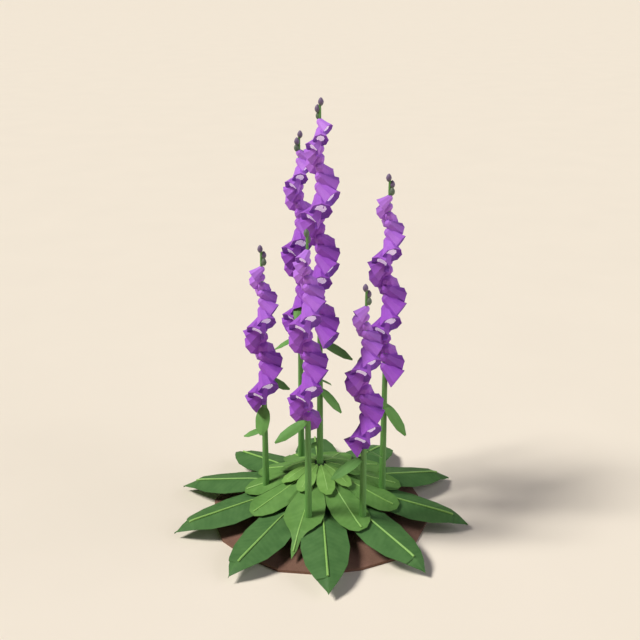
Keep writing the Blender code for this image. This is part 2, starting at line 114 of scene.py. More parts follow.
# Stems
STEM_FOOT_RADIUS = 0.0093
STEM_TIP_RADIUS = 0.0027
STEM_SIDES = 18
STEM_FOOT_Z = 0.0070
CROWN_FOOT_Z = 0.013
STEM_GROOVE = 0.00035
STEM_GROOVES = 6
STEM_RINGS = 40
STEM_BELOW_TOP = 0.005
STEM_POINT = 0.0012

# Buds; the fan turns each about the stem, and the last row moves it off the stem's axis
BUD_LENGTH = 0.0190
BUD_RADIUS = 0.0060
BUD_FULLNESS = 0.65
BUD_TAPER = 0.18
BUD_LEVELS = 10
BUD_SIDES = 12
BUD_SPACING = 0.0148
BUD_FAN = (0, 12, -20)
BUD_ASIDE = (-0.0022, 0.0058, 0.0058)

# Small stem leaves; every outline is (share of the length, share of the half width)
STEM_LEAF_OUTLINE = ((0.0, 0.35), (0.20, 0.85), (0.45, 1.0), (0.75, 0.85), (1.0, 0.15))
STEM_LEAF_THICKNESS = 0.0014
STEM_LEAF_RIDGE = 0.20
STEM_LEAF_ARCH = 0.02
STEM_LEAF_ROWS = 12
STEM_LEAF_STEPS = (-1.0, -0.66, -0.33, 0.0, 0.33, 0.66, 1.0)
STEM_LEAF_EDGE_LOSS = 0.5
STEM_LEAF_FOOT = 0.4

# Bells
BELL_SIDES = 8
BELL_STRIPS = 3
BELLS_PER_TURN = 7
BELL_STEP = 0.0235
BELL_TOP_STEP_SHARE = 0.78
BELL_STEP_GROWTH_BELLS = 10
BELL_DROOP = 40
BELL_TOP_SIZE = 0.62
BELL_FULL_SIZE_AFTER = 7
BELL_LOWER_LIP = 0.003
BELL_LIP_POWER = 3
BELL_PLEAT = 0.022
BELL_TWIST = 2.5
# A bell's colour is full grown after this share of its spire's bells
GROWN_AFTER = 0.55
GROWN_POWER = 0.8
# Outside of a bell: distance along its axis from the stem's axis, and radius
BELL_OUTSIDE = (
    (-0.0092, 0.0082), (-0.0030, 0.0126), (0.0035, 0.0138), (0.0130, 0.0166),
    (0.0230, 0.0198), (0.0330, 0.0233), (0.0395, 0.0257), (0.0410, 0.0260),
)
BELL_BACK = -0.0122
# Inside, from the lip to the pale throat
BELL_INSIDE = ((0.0413, 0.0252), (0.0402, 0.0243), (0.0368, 0.0196), (0.0336, 0.0132))
BELL_THROAT = ((0.0327, 0.0122), (0.0324, 0.0070))
BELL_THROAT_END = 0.0323
# Where the parts that close a bell lie along the petal's map, whose outside runs from 0 to 1
BACK_MAP = (0.1, 0.0)
INSIDE_MAP = (1.0, 1.1)
THROAT_MAP = (1.1, 1.2)
THROAT_END_MAP = (1.2, 1.3)

# Each spire: name, place, height, first bell's height and bearing, number of bells, buds, and its
# leaves as (height, bearing, length, half width, droop, roll)
SPIRES = (
    ("1", (0.0, 0.0), 1.000, 0.949, 55, 22, 3, (
        (0.452, 91, 0.086, 0.0140, 32, 28),
        (0.334, 60, 0.074, 0.0125, 42, 15),
        (0.355, 152, 0.060, 0.0130, 32, 20),
    )),
    ("2", (-0.047, 0.112), 0.913, 0.863, 108, 19, 3, (
        (0.422, -92, 0.070, 0.0110, 31, -12),
    )),
    ("3", (0.150, -0.012), 0.841, 0.787, -87, 19, 3, (
        (0.300, 62, 0.088, 0.0135, 52, 35),
    )),
    ("4", (-0.130, -0.010), 0.682, 0.626, -80, 15, 3, (
        (0.295, -12, 0.069, 0.0180, 62, 4),
        (0.232, -105, 0.056, 0.0108, 26, -20),
    )),
    ("5", (-0.0265, -0.142), 0.754, 0.703, -35, 18, 2, (
        (0.321, -66, 0.086, 0.0122, 27, -35),
    )),
    ("6", (0.098, -0.132), 0.632, 0.576, -73, 15, 3, (
        (0.243, 125, 0.060, 0.0120, 36, 0),
        (0.224, -72, 0.086, 0.0135, 30, -25),
    )),
)
# Slight leaf ends, most of them between the bells, for each spire in the same form
SLIGHT_LEAVES = {
    "1": ((0.192, -85, 0.030, 0.0085, 28, -10),),
    "2": ((0.527, -8, 0.080, 0.0100, 36, 0),),
    "4": ((0.3665, 98, 0.067, 0.0140, 30, 25),),
    "6": ((0.470, -78, 0.026, 0.0050, 50, -45),),
}
GREEN_TIPPED_SPIRE = "5"

# Rosette leaves
OUTER_OUTLINE = (
    (0.0, 0.13), (0.21, 0.50), (0.455, 0.92), (0.60, 1.0),
    (0.76, 0.84), (0.87, 0.56), (0.93, 0.34), (1.0, 0.0),
)
OUTER_BEARINGS = (3, -34, -71, -106, -139, -177.5, 149, 114, 77, 40)
OUTER_HALF_WIDTH = 0.0555
MIDDLE_OUTLINE = (
    (0.0, 0.16), (0.25, 0.60), (0.49, 0.96), (0.66, 1.0),
    (0.82, 0.90), (0.93, 0.64), (1.0, 0.26),
)
MIDDLE_POINTED_OUTLINE = (
    (0.0, 0.16), (0.20, 0.60), (0.39, 0.98), (0.53, 1.06),
    (0.62, 1.02), (0.71, 0.70), (0.77, 0.38), (0.83, 0.22), (0.91, 0.17), (1.0, 0.0),
)
MIDDLE_BEARINGS = (-15, -56, -88, -122, -160, 165, 131, 99, 67, 29)
MIDDLE_HALF_WIDTH = 0.044
INNER_OUTLINE = ((0.0, 0.24), (0.35, 0.80), (0.62, 1.0), (0.85, 0.80), (1.0, 0.30))
INNER_BEARINGS = (12, -30, -66, -106, -146, 174, 134, 92, 50)
INNER_HALF_WIDTH = 0.0225
# Inner leaves further round than this take the darker middle green, painted shade for their side turned
# from the light
SHADED_BACK_BEARING = 80
# How much before their packed leaves these end
TIP_TRIMS = {
    "middle_leaf_2": 0.015,
    "middle_leaf_3": 0.018,
    "middle_leaf_4": 0.030,
    "middle_leaf_10": 0.008,
}

# A leaf's sheet
NEIGHBOUR_SHARE = 0.985
EDGE_INSET = 0.0002
LEAF_ROW = 0.0070
FEWEST_ROWS = 8
CORNER_CLEARANCE = 0.0022
CORNER_ROUNDS = 6
LEAF_COLUMNS = 6
SLANT_ROUNDS = 3
LEAF_THICKNESS = 0.0015
LEAF_EDGE_THICKNESS = 0.0008
VEIN_RISE = 0.00015
VEIN_EDGE_LOSS = 0.6
VEIN_FADE = 0.5
VEIN_SLANT = 0.55
VEIN_SLANT_POWER = 3

# The fold across a leaf, just past its midrib's end
FOLD_PAST_RIB = 0.002
FOLD_DROP = 0.0030
FOLD_DROP_RATE = 3.0
FOLD_NOTCH = 0.0022
FOLD_NOTCH_SHARE = 0.5
FOLD_STRAIGHTENS = 0.05
FOLD_HALF_WIDTH = 0.0004
FOLD_CLEARANCE = 0.5 * LEAF_ROW

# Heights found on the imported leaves
LOWEST_LEAF_TOP = 0.0018
CAD_RIB_HALF_WIDTH = 0.0030
CAD_RIB_SHARE = 0.9
EDGE_TRIES = (1.0, 0.96, 0.9, 0.8)
HOLE_TRIES = (1.0, 0.8, 0.6, 0.3, 0.0)
BRIDGE_STEP = 0.0015
BRIDGE_STEPS = 18

# Midribs
RIB_ROWS = 24
RIB_SIDES = 12
LONGEST_RIB = 0.97

# Soil
SOIL_LONG_EDGE = 0.012
SOIL_CUTS = 7
SOIL_RIM_TOP = 0.004
SOIL_RELIEF = 0.0007
SOIL_RELIEF_SIZE = 0.009
SOIL_RELIEF_MIDDLE = 0.3


def heading(bearing):
    """Unit vector along a bearing, level with the ground."""
    angle = math.radians(bearing)
    return Vector((math.sin(angle), -math.cos(angle), 0.0))


def blend_points(points, at):
    """Value at a place on a broken line of (place, value) points."""
    for (start, low), (end, high) in zip(points, points[1:]):
        if at <= end:
            return low + (high - low) * (at - start) / (end - start)
    return points[-1][1]


# Materials


def new_material(name, roughness):
    """A Principled material; gives the material, its tree and its shader."""
    material = bpy.data.materials.new(name)
    material.use_nodes = True
    tree = material.node_tree
    shader = tree.nodes["Principled BSDF"]
    shader.inputs["Roughness"].default_value = roughness
    return material, tree, shader


def object_point(tree, stretch=(1.0, 1.0, 1.0)):
    """The point on the surface in metres, stretched per axis."""
    place = tree.nodes.new("ShaderNodeTexCoord")
    mapping = tree.nodes.new("ShaderNodeMapping")
    mapping.inputs["Scale"].default_value = stretch
    tree.links.new(place.outputs["Object"], mapping.inputs["Vector"])
    return mapping.outputs["Vector"]


def map_point(tree, name, stretch):
    """The point on a named UV map, stretched per axis."""
    place = tree.nodes.new("ShaderNodeUVMap")
    place.uv_map = name
    mapping = tree.nodes.new("ShaderNodeMapping")
    mapping.inputs["Scale"].default_value = stretch
    tree.links.new(place.outputs["UV"], mapping.inputs["Vector"])
    return mapping.outputs["Vector"]


def noise_at(tree, point, *, scale, detail, rough=0.55):
    """Noise value at a point."""
    node = tree.nodes.new("ShaderNodeTexNoise")
    node.inputs["Scale"].default_value = scale
    node.inputs["Detail"].default_value = detail
    node.inputs["Roughness"].default_value = rough
    tree.links.new(point, node.inputs["Vector"])
    return node.outputs["Fac"]


def attribute(tree, name):
    """A value stored on the mesh."""
    node = tree.nodes.new("ShaderNodeAttribute")
    node.attribute_name = name
    return node.outputs["Fac"]


def ramp(tree, factor, positions, colours):
    """Colour ramp with each colour at its position."""
    node = tree.nodes.new("ShaderNodeValToRGB")
    points = node.color_ramp.elements
    while len(points) < len(colours):
        points.new(0.5)
    for point, position, colour in zip(points, positions, colours):
        point.position = position
        point.color = (*colour, 1.0)
    tree.links.new(factor, node.inputs["Fac"])
    return node.outputs["Color"]


def mix(tree, factor, first, second, blend="MIX"):
    """Mix of two colours; the factor and either colour may be a socket or a value."""
    node = tree.nodes.new("ShaderNodeMix")
    node.data_type = "RGBA"
    node.blend_type = blend
    for socket, value in ((node.inputs[0], factor), (node.inputs[6], first), (node.inputs[7], second)):
        if isinstance(value, bpy.types.NodeSocket):
            tree.links.new(value, socket)
        elif isinstance(value, tuple):
            socket.default_value = (*value, 1.0)
        else:
            socket.default_value = value
    return node.outputs[2]


def scaled(tree, value, low, high):
    """A value from 0 to 1 spread over a range."""
    node = tree.nodes.new("ShaderNodeMapRange")
    node.inputs["To Min"].default_value = low
    node.inputs["To Max"].default_value = high
    tree.links.new(value, node.inputs["Value"])
    return node.outputs["Result"]


def add_bump(tree, shader, height, *, strength, distance):
    """Fine relief on a shader."""
    node = tree.nodes.new("ShaderNodeBump")
    node.inputs["Strength"].default_value = strength
    node.inputs["Distance"].default_value = distance
    tree.links.new(height, node.inputs["Height"])
    tree.links.new(node.outputs["Normal"], shader.inputs["Normal"])


def petal_material():
    """Purple petal: paler on the young top bells, with fine streaks from base to rim."""
    material, tree, shader = new_material("petal", 0.55)
    place = map_point(tree, "petal", (5.0, 0.9, 1.0))
    streaks = noise_at(tree, place, scale=3.0, detail=5.0, rough=0.6)
    young = ramp(tree, streaks, (0.30, 0.70), YOUNG_PETAL)
    grown = ramp(tree, streaks, (0.30, 0.70), GROWN_PETAL)
    body = mix(tree, attribute(tree, "grown"), young, grown)
    blotch = noise_at(tree, object_point(tree), scale=60.0, detail=3.0)
    shade = ramp(tree, blotch, (0.25, 0.75), PETAL_SHADE)
    tree.links.new(mix(tree, 1.0, body, shade, "MULTIPLY"), shader.inputs["Base Color"])
    tree.links.new(scaled(tree, streaks, 0.46, 0.64), shader.inputs["Roughness"])
    shader.inputs["Specular IOR Level"].default_value = 0.25
    add_bump(tree, shader, streaks, strength=0.25, distance=0.0006)
    return material


def shaded_inside_material():
    """Inside of the lip: a darker purple than the petal, painted shade for the mouth's recess, with
    darker flecks.
    """
    material, tree, shader = new_material("petal_inside_shade", 0.6)
    flecks = noise_at(tree, object_point(tree), scale=420.0, detail=2.0)
    colour = ramp(tree, flecks, (0.35, 0.60), PETAL_INSIDE_SHADE)
    tree.links.new(colour, shader.inputs["Base Color"])
    add_bump(tree, shader, flecks, strength=0.2, distance=0.0004)
    return material


def throat_material():
    """Pale lilac throat with faint spots and a painted glow."""
    material, tree, shader = new_material("throat", 0.5)
    spots = tree.nodes.new("ShaderNodeTexVoronoi")
    spots.inputs["Scale"].default_value = 300.0
    tree.links.new(object_point(tree), spots.inputs["Vector"])
    ring = ramp(tree, spots.outputs["Distance"], (0.12, 0.34), THROAT)
    cloud = noise_at(tree, object_point(tree), scale=150.0, detail=2.0)
    tint = ramp(tree, cloud, (0.3, 0.7), THROAT_SHADE)
    tree.links.new(mix(tree, 1.0, ring, tint, "MULTIPLY"), shader.inputs["Base Color"])
    # Painted glow: a weak emission that stands in for daylight coming through the thin petal
    shader.inputs["Emission Color"].default_value = (*THROAT_PAINTED_GLOW, 1.0)
    shader.inputs["Emission Strength"].default_value = THROAT_PAINTED_GLOW_STRENGTH
    add_bump(tree, shader, cloud, strength=0.2, distance=0.0004)
    return material


def leaf_material(name, dark, light, vein):
    """Matt leaf: soft mottling, paler veins and a fine wrinkled surface."""
    material, tree, shader = new_material(name, 0.6)
    mottle = noise_at(tree, object_point(tree), scale=38.0, detail=5.0)
    body = ramp(tree, mottle, (0.32, 0.68), (dark, light))
    lines = scaled(tree, attribute(tree, "vein"), 0.0, 0.10)
    tree.links.new(mix(tree, lines, body, vein), shader.inputs["Base Color"])
    wrinkle = noise_at(tree, object_point(tree), scale=420.0, detail=3.0)
    tree.links.new(scaled(tree, mottle, 0.50, 0.70), shader.inputs["Roughness"])
    shader.inputs["Specular IOR Level"].default_value = 0.2
    add_bump(tree, shader, wrinkle, strength=0.25, distance=0.0005)
    return material


def stalk_material(name, dark, light, roughness=0.5):
    """Green stalk or midrib with streaks along its length."""
    material, tree, shader = new_material(name, roughness)
    streaks = noise_at(tree, object_point(tree, (420.0, 420.0, 26.0)), scale=1.0, detail=4.0)
    colour = ramp(tree, streaks, (0.32, 0.68), (dark, light))
    tree.links.new(colour, shader.inputs["Base Color"])
    rough = scaled(tree, streaks, roughness - 0.06, roughness + 0.10)
    tree.links.new(rough, shader.inputs["Roughness"])
    add_bump(tree, shader, streaks, strength=0.2, distance=0.0004)
    return material


def bud_material(name, foot, middle, tip):
    """Closed bud: green at its foot, dusky purple above."""
    material, tree, shader = new_material(name, 0.55)
    along = attribute(tree, "along")
    body = ramp(tree, along, (0.05, 0.45, 0.95), (foot, middle, tip))
    streaks = noise_at(tree, object_point(tree, (900.0, 900.0, 150.0)), scale=1.0, detail=3.0)
    shade = ramp(tree, streaks, (0.3, 0.7), BUD_SHADE)
    tree.links.new(mix(tree, 1.0, body, shade, "MULTIPLY"), shader.inputs["Base Color"])
    add_bump(tree, shader, streaks, strength=0.25, distance=0.0004)
    return material


def soil_material():
    """Dry brown earth with grains."""
    material, tree, shader = new_material("soil_earth", 0.95)
    patches = noise_at(tree, object_point(tree), scale=22.0, detail=6.0, rough=0.6)
    grains = noise_at(tree, object_point(tree), scale=520.0, detail=4.0, rough=0.7)
    body = ramp(tree, patches, (0.30, 0.70), SOIL_BROWN)
    speck = ramp(tree, grains, (0.32, 0.60), SOIL_SPECK)
    tree.links.new(mix(tree, 1.0, body, speck, "MULTIPLY"), shader.inputs["Base Color"])
    add_bump(tree, shader, grains, strength=0.5, distance=0.0012)
    return material


def floor_material():
    """Plain pale floor."""
    material, tree, shader = new_material("floor", 0.9)
    shader.inputs["Specular IOR Level"].default_value = 0.0
    drift = noise_at(tree, object_point(tree), scale=3.0, detail=2.0)
    dim = tuple(FLOOR_DIM * channel for channel in FLOOR_COLOUR)
    colour = ramp(tree, drift, (0.3, 0.7), (dim, FLOOR_COLOUR))
    tree.links.new(colour, shader.inputs["Base Color"])
    return material


# Mesh helpers


def finish_piece(name, bm, materials, slot, nodes, sharp_angle):
    """Turn a bmesh into a piece that stands for CAD nodes and rides with the plant."""
    bmesh.ops.remove_doubles(bm, verts=bm.verts, dist=WELD)
    bmesh.ops.recalc_face_normals(bm, faces=bm.faces)
    mesh = bpy.data.meshes.new(name)
    bm.to_mesh(mesh)
    bm.free()
    for material in materials:
        mesh.materials.append(material)
    mesh.shade_smooth()
    mesh.set_sharp_from_angle(angle=math.radians(sharp_angle))
    piece = bpy.data.objects.new(name, mesh)
    bpy.context.scene.collection.objects.link(piece)
    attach(piece, "root")
    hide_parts(*nodes)


def bridge(bm, first, second, material_index):
    """Faces between two closed rings of equal count."""
    made = []
    for k in range(len(first)):
        after = (k + 1) % len(first)
        face = bm.faces.new((first[k], first[after], second[after], second[k]))
        face.material_index = material_index
        made.append(face)
    return made


def close_ring(bm, ring, tip, material_index):
    """Triangles from a closed ring to one point."""
    made = []
    for k in range(len(ring)):
        face = bm.faces.new((ring[k], tip, ring[(k + 1) % len(ring)]))
        face.material_index = material_index
        made.append(face)
    return made


def tube(bm, points, radii, sides, material_index):
    """A round tube through points that don't stand upright, with pointed ends."""
    rings = []
    for index, (point, radius) in enumerate(zip(points, radii)):
        before = points[max(0, index - 1)]
        after = points[min(len(points) - 1, index + 1)]
        along = (after - before).normalized()
        side = along.cross(Vector((0.0, 0.0, 1.0))).normalized()
        up = side.cross(along)
        ring = []
        for k in range(sides):
            angle = 2 * math.pi * k / sides
            ring.append(bm.verts.new(point + (side * math.cos(angle) + up * math.sin(angle)) * radius))
        rings.append(ring)
    for low, high in zip(rings, rings[1:]):
        bridge(bm, low, high, material_index)
    first = bm.verts.new(points[0] - (points[1] - points[0]).normalized() * radii[0] * TUBE_POINT)
    last = bm.verts.new(points[-1] + (points[-1] - points[-2]).normalized() * radii[-1] * TUBE_POINT)
    close_ring(bm, rings[0], first, material_index)
    close_ring(bm, rings[-1], last, material_index)


# Bells


def bell_plan(spire):
    """Height, bearing and size of each bell, from the top of the spiral down."""
    _, _, _, first, bearing, count, _, _ = spire
    height = first
    for number in range(count):
        growth = min(1.0, number / BELL_FULL_SIZE_AFTER)
        size = BELL_TOP_SIZE + (1.0 - BELL_TOP_SIZE) * growth
        yield height, bearing - number * 360.0 / BELLS_PER_TURN, size
        share = min(1.0, number / BELL_STEP_GROWTH_BELLS)
        height -= BELL_STEP * (BELL_TOP_STEP_SHARE + (1.0 - BELL_TOP_STEP_SHARE) * share)


def bell_corner_radius(column):
    """Share of the radius at a column round a bell: straight facets with a slight hollow."""
    part = (column % BELL_STRIPS) / BELL_STRIPS
    half = math.pi / BELL_SIDES
    chord = math.cos(half) / math.cos((2 * part - 1) * half)
    return chord * (1.0 - BELL_PLEAT * math.sin(math.pi * part))


def add_bell(bm, layers, place, height, bearing, size, grown, twist):
    """One hollow bell with eight facets, a thin lip, an inside darkened with painted shade and a pale
    throat.
    """
    level = heading(bearing)
    side = Vector((-level.y, level.x, 0.0))
    down = math.radians(BELL_DROOP)
    axis = level * math.cos(down) - Vector((0.0, 0.0, math.sin(down)))
    up = axis.cross(side)
    if up.z < 0.0:
        up.negate()
    foot = Vector((place[0], place[1], height))
    columns = BELL_SIDES * BELL_STRIPS

    def ring(along, radius, lip):
        made = []
        for column in range(columns):
            angle = 2 * math.pi * column / columns + math.pi / 2 + twist
            reach = along - lip * math.sin(angle)
            spread = radius * bell_corner_radius(column)
            point = foot + axis * (reach * size)
            point += (side * math.cos(angle) + up * math.sin(angle)) * (spread * size)
            vert = bm.verts.new(point)
            vert[layers["grown"]] = grown
            made.append(vert)
        return made

    def map_faces(faces, low, high):
        for index, face in enumerate(faces):
            corners = [(index, low), (index + 1, low), (index + 1, high), (index, high)]
            if len(face.loops) == 3:
                corners = [(index, low), (index + 0.5, high), (index + 1, low)]
            for loop, (around, along) in zip(face.loops, corners):
                loop[layers["map"]].uv = (around / BELL_STRIPS, along)

    rings = []
    for along, radius in BELL_OUTSIDE:
        share = max(0.0, along / BELL_OUTSIDE[-1][0])
        rings.append((along, ring(along, radius, BELL_LOWER_LIP * share ** BELL_LIP_POWER)))
    back = bm.verts.new(foot + axis * (BELL_BACK * size))
    back[layers["grown"]] = grown
    map_faces(close_ring(bm, rings[0][1], back, PETAL_PLACE), *BACK_MAP)
    length = BELL_OUTSIDE[-1][0] - BELL_BACK
    for (low, first), (high, second) in zip(rings, rings[1:]):
        faces = bridge(bm, first, second, PETAL_PLACE)
        map_faces(faces, (low - BELL_BACK) / length, (high - BELL_BACK) / length)

    inner = rings[-1][1]
    for number, (along, radius) in enumerate(BELL_INSIDE):
        deeper = ring(along, radius, BELL_LOWER_LIP * (1.0 - number / len(BELL_INSIDE)))
        place_in_list = PETAL_PLACE if number == 0 else INSIDE_PLACE
        map_faces(bridge(bm, inner, deeper, place_in_list), *INSIDE_MAP)
        inner = deeper
    for along, radius in BELL_THROAT:
        deeper = ring(along, radius, 0.0)
        map_faces(bridge(bm, inner, deeper, THROAT_PLACE), *THROAT_MAP)
        inner = deeper
    end = bm.verts.new(foot + axis * (BELL_THROAT_END * size))
    end[layers["grown"]] = grown
    map_faces(close_ring(bm, inner, end, THROAT_PLACE), *THROAT_END_MAP)


def build_head(spire, materials):
    """All bells of one spire."""
    name, place, _, _, _, count, _, _ = spire
    draw = random.Random(int(name))
    bm = bmesh.new()
    layers = {
        "grown": bm.verts.layers.float.new("grown"),
        "map": bm.loops.layers.uv.new("petal"),
    }
    for number, (height, bearing, size) in enumerate(bell_plan(spire)):
        grown = min(1.0, (number / (GROWN_AFTER * count)) ** GROWN_POWER)
        twist = math.radians(draw.uniform(-BELL_TWIST, BELL_TWIST))
        add_bell(bm, layers, place, height, bearing, size, grown, twist)
    finish_piece(f"bells_{name}", bm, materials, "bell", [f"flower_head_{name}"], BELL_SHARP)


# Stems, their leaves and buds


def stem_radius(height, top):
    """Radius of a stem at a height."""
    share = max(0.0, min(1.0, height / top))
    return STEM_FOOT_RADIUS + (STEM_TIP_RADIUS - STEM_FOOT_RADIUS) * share


def add_stem(bm, place, top):
    """A tapering stem with shallow grooves along it."""
    foot = CROWN_FOOT_Z if place == (0.0, 0.0) else STEM_FOOT_Z
    end = top - STEM_BELOW_TOP
    rings = []
    for row in range(STEM_RINGS + 1):
        height = foot + (end - foot) * row / STEM_RINGS
        ring = []
        for k in range(STEM_SIDES):
            angle = 2 * math.pi * k / STEM_SIDES
            groove = STEM_GROOVE * (0.5 + 0.5 * math.cos(STEM_GROOVES * angle))
            radius = stem_radius(height, top) - groove
            ring.append(bm.verts.new((
                place[0] + radius * math.cos(angle), place[1] + radius * math.sin(angle), height
            )))
        rings.append(ring)
    for low, high in zip(rings, rings[1:]):
        bridge(bm, low, high, STALK_PLACE)
    close_ring(bm, rings[0], bm.verts.new((place[0], place[1], foot)), STALK_PLACE)
    close_ring(bm, rings[-1], bm.verts.new((place[0], place[1], end + STEM_POINT)), STALK_PLACE)


def add_stem_leaf(bm, vein_layer, place, top, leaf):
    """A small folded blade that grows out of the stem."""
    height, bearing, length, half_width, droop, roll = leaf
    ahead = heading(bearing)
    across = Vector((-ahead.y, ahead.x, 0.0))
    down = math.radians(droop)
    along = ahead * math.cos(down) - Vector((0.0, 0.0, math.sin(down)))
    face = across.cross(along)
    if face.z < 0.0:
        face.negate()
    turn = math.radians(roll)
    across = across * math.cos(turn) - across.cross(along) * math.sin(turn)
    foot = Vector((place[0], place[1], height)) + ahead * (STEM_LEAF_FOOT * stem_radius(height, top))
    rows = []
    for row in range(STEM_LEAF_ROWS + 1):
        share = row / STEM_LEAF_ROWS
        middle = foot + along * (share * length)
        middle.z += STEM_LEAF_ARCH * length * math.sin(math.pi * share)
        width = half_width * blend_points(STEM_LEAF_OUTLINE, share)
        upper = []
        lower = []
        for step in STEM_LEAF_STEPS:
            point = middle + across * (step * width)
            point.z -= STEM_LEAF_RIDGE * half_width * abs(step)
            thick = STEM_LEAF_THICKNESS * (1.0 - STEM_LEAF_EDGE_LOSS * abs(step))
            top_vert = bm.verts.new(point)
            top_vert[vein_layer] = 1.0 if step == 0.0 else 0.0
            upper.append(top_vert)
            lower.append(bm.verts.new(point - face * thick))
        rows.append(upper + list(reversed(lower)))
    for near, far in zip(rows, rows[1:]):
        bridge(bm, near, far, STEM_LEAF_PLACE)
    bm.faces.new(rows[0]).material_index = STEM_LEAF_PLACE
    bm.faces.new(list(reversed(rows[-1]))).material_index = STEM_LEAF_PLACE


def add_bud(bm, along_layer, centre, material_index):
    """One egg-shaped bud with a narrow pointed top."""
    rings = []
    for row in range(1, BUD_LEVELS):
        share = row / BUD_LEVELS
        taper = 1.0 - BUD_TAPER * (share - 0.5)
        radius = BUD_RADIUS * math.sin(math.pi * share) ** BUD_FULLNESS * taper
        ring = []
        for k in range(BUD_SIDES):
            angle = 2 * math.pi * k / BUD_SIDES
            vert = bm.verts.new(centre + Vector((
                radius * math.cos(angle), radius * math.sin(angle), (share - 0.5) * BUD_LENGTH
            )))
            vert[along_layer] = share
            ring.append(vert)
        rings.append(ring)
    for low, high in zip(rings, rings[1:]):
        bridge(bm, low, high, material_index)
    ends = ((rings[0], -0.5, 0.0), (rings[-1], 0.5, 1.0))
    for ring, way, share in ends:
        tip = bm.verts.new(centre + Vector((0.0, 0.0, way * BUD_LENGTH)))
        tip[along_layer] = share
        close_ring(bm, ring, tip, material_index)


def build_stem(spire, materials):
    """One stem with its small leaves and buds."""
    name, place, top, _, first_bearing, _, buds, leaves = spire
    bm = bmesh.new()
    vein = bm.verts.layers.float.new("vein")
    along = bm.verts.layers.float.new("along")
    add_stem(bm, place, top)
    for leaf in (*leaves, *SLIGHT_LEAVES.get(name, ())):
        add_stem_leaf(bm, vein, place, top, leaf)
    for number in range(buds):
        height = top - BUD_LENGTH / 2 - number * BUD_SPACING
        aside = heading(first_bearing + 180 + BUD_FAN[number]) * BUD_ASIDE[number]
        centre = Vector((place[0], place[1], height)) + aside
        green = number == 2 or (name == GREEN_TIPPED_SPIRE and number == 0)
        add_bud(bm, along, centre, GREEN_BUD_PLACE if green else BUD_PLACE)
    finish_piece(f"stalk_{name}", bm, materials, "stem", [f"stem_{name}"], STEM_SHARP)


# Rosette leaves


class LeafRing:
    """One ring of rosette leaves and how its leaves look.

    A midrib has a radius at its foot and its tip, a lift above the blade at its foot, middle and
    tip, and the share of the leaf's length at which it ends. One leaf may be pointed.
    """

    def __init__(self, prefix, bearings, outline, half_width, *, rib_radii, rib_lift, rib_end,
                 pointed=None, folded=False):
        self.prefix = prefix
        self.bearings = bearings
        self.outline = outline
        self.half_width = half_width
        self.rib_radii = rib_radii
        self.rib_lift = rib_lift
        self.rib_end = rib_end
        self.pointed = pointed
        self.folded = folded

    def room(self, index, way):
        """Half the angle to the next leaf, towards larger (1) or smaller (-1) bearings."""
        bearing = self.bearings[index]
        others = self.bearings[:index] + self.bearings[index + 1:]
        gaps = [way * (other - bearing) % 360 for other in others]
        return math.radians(min(gaps) / 2)


class Blade:
    """One rosette leaf: its outline from the named sizes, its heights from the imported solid."""

    def __init__(self, ring, index):
        self.node = f"{ring.prefix}_{index + 1}"
        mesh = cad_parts[self.node].data
        self.ahead = heading(ring.bearings[index])
        self.across = Vector((-self.ahead.y, self.ahead.x, 0.0))
        reaches = [vert.co.dot(self.ahead) for vert in mesh.vertices]
        self.foot = min(reaches) + EDGE_INSET
        whole = max(reaches) - EDGE_INSET
        self.tip = whole - TIP_TRIMS.get(self.node, 0.0)
        self.rib_tip = min(
            self.foot + (whole - self.foot) * ring.rib_end,
            self.foot + (self.tip - self.foot) * LONGEST_RIB,
        )
        self.outline = MIDDLE_POINTED_OUTLINE if index == ring.pointed else ring.outline
        self.half_width = ring.half_width
        self.rooms = {way: ring.room(index, way) for way in (1, -1)}
        points = [vert.co for vert in mesh.vertices]
        self.solid = BVHTree.FromPolygons(points, [list(face.vertices) for face in mesh.polygons])

    def width_at(self, reach, side=0.0):
        """Width from the midrib to one side, or to the narrower side, at a distance from the axis."""
        share = max(0.0, min(1.0, (reach - self.foot) / (self.tip - self.foot)))
        wanted = self.half_width * blend_points(self.outline, share)
        room = min(self.rooms.values())
        if side != 0.0:
            room = self.rooms[1 if side > 0.0 else -1]
        free = reach * math.tan(room) * NEIGHBOUR_SHARE
        return max(0.0, min(wanted, free) - EDGE_INSET)

    def cast(self, reach, aside):
        """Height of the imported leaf's upper side, or None beside it and in a stem's hole."""
        spot = self.ahead * reach + self.across * aside
        hit, _, _, _ = self.solid.ray_cast(Vector((spot.x, spot.y, 1.0)), Vector((0.0, 0.0, -1.0)))
        return None if hit is None else hit.z

    def bridge_hole(self, reach, aside):
        """Height between the nearest places with a surface before and after, along the leaf."""
        found = []
        for way in (-1.0, 1.0):
            for step in range(1, BRIDGE_STEPS + 1):
                height = self.cast(reach + way * step * BRIDGE_STEP, aside)
                if height is not None:
                    found.append((step, height))
                    break
        if len(found) == 2:
            (near, low), (far, high) = found
            return (low * far + high * near) / (near + far)
        return found[0][1] if found else None

    def top_at(self, reach, aside):
        """Height of the upper side, continued over a stem's hole and just past the edge."""
        for inward in EDGE_TRIES:
            height = self.cast(reach, aside * inward)
            if height is not None:
                return height
        for inward in HOLE_TRIES:
            height = self.bridge_hole(reach, aside * inward)
            if height is not None:
                return height
        return LOWEST_LEAF_TOP

    def blade_at(self, reach, aside):
        """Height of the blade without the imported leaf's raised rib."""
        if abs(aside) >= CAD_RIB_HALF_WIDTH:
            return self.top_at(reach, aside)
        edge = min(CAD_RIB_HALF_WIDTH, CAD_RIB_SHARE * self.width_at(reach))
        return 0.5 * (self.top_at(reach, edge) + self.top_at(reach, -edge))


def row_slant(blade, fold, start):
    """How far a row leans towards the tip, for each metre out from the midrib."""
    share = (start - blade.foot) / (blade.tip - blade.foot)
    slant = VEIN_SLANT * (1.0 - share ** VEIN_SLANT_POWER)
    if fold is not None:
        slant *= max(0.0, min(1.0, (fold - start) / FOLD_STRAIGHTENS))
    return slant


